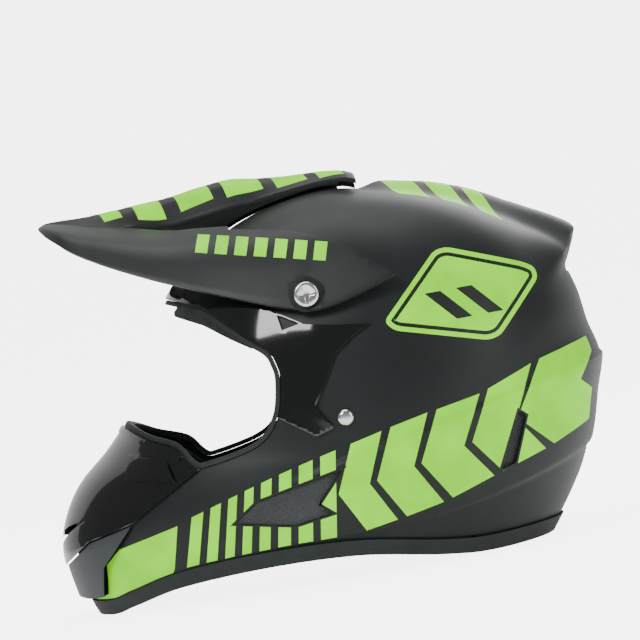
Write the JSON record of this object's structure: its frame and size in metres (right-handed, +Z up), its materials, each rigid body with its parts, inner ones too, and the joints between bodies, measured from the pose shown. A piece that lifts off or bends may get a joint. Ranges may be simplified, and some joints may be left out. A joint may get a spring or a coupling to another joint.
{
  "type": "motocross helmet",
  "caption": "Full-face off-road helmet with a chin bar, open eyeport, tilting sun peak, padded lining and a chin strap fastened with D-rings.",
  "frame": {"origin": "middle of the whole helmet's box at its foot, on the table it stands on", "axes": "+X forwards to the chin, +Y to the wearer's left, +Z up"},
  "size_m": [0.3696, 0.245, 0.263],
  "materials": {
    "shell_skin": "matte charcoal",
    "peak_skin": "matte charcoal",
    "gloss_trim": "high gloss black",
    "lip_panel": "satin dark grey",
    "edge_rubber": "soft black rubber",
    "foam": "charcoal impact foam",
    "lining_fabric": "black mesh fabric",
    "webbing": "black woven webbing",
    "grille": "dark mesh",
    "fastener_steel": "bright plated steel",
    "zinc_steel": "plain plated steel"
  },
  "bodies": {
    "helmet": {"outer_shell": "shell_skin", "bottom_edge_trim": "edge_rubber", "eyeport_gasket": "edge_rubber", "face_trim": "gloss_trim", "chin_guard": "gloss_trim", "chin_lip_panel": "lip_panel", "front_side_grille_left": "grille", "front_side_grille_right": "grille", "rear_side_grille_left": "grille", "rear_side_grille_right": "grille", "chin_vent_grille": "grille", "exhaust_grille": "grille", "foam_liner": "foam", "comfort_liner": "lining_fabric", "strap_rivet_left": "fastener_steel", "strap_rivet_right": "fastener_steel", "cheek_pad_left": "lining_fabric", "cheek_pad_right": "lining_fabric", "chin_bar_foam": "foam", "neck_roll": "lining_fabric", "peak_screw_left": "fastener_steel", "peak_screw_right": "fastener_steel", "peak_washer_left": "edge_rubber", "peak_washer_right": "edge_rubber", "peak_nut_left": "zinc_steel", "peak_nut_right": "zinc_steel"},
    "peak": {"peak": "peak_skin"},
    "chin_strap": {"chin_strap_left": "webbing", "chin_strap_right": "webbing", "d_ring_inner": "fastener_steel", "d_ring_outer": "fastener_steel", "strap_plate_left": "zinc_steel", "strap_plate_right": "zinc_steel"}
  },
  "joints": [
    {"name": "peak_tilt", "type": "hinge", "parent": "helmet", "child": "peak", "pos_m": [-0.002, 0, 0.179], "axis": [0, -1, 0], "range_deg": [-3, 4]},
    {"name": "chin_strap_swing", "type": "hinge", "parent": "helmet", "child": "chin_strap", "pos_m": [-0.012, 0, 0.1], "axis": [0, 1, 0], "range_deg": [-10, 10]}
  ]
}
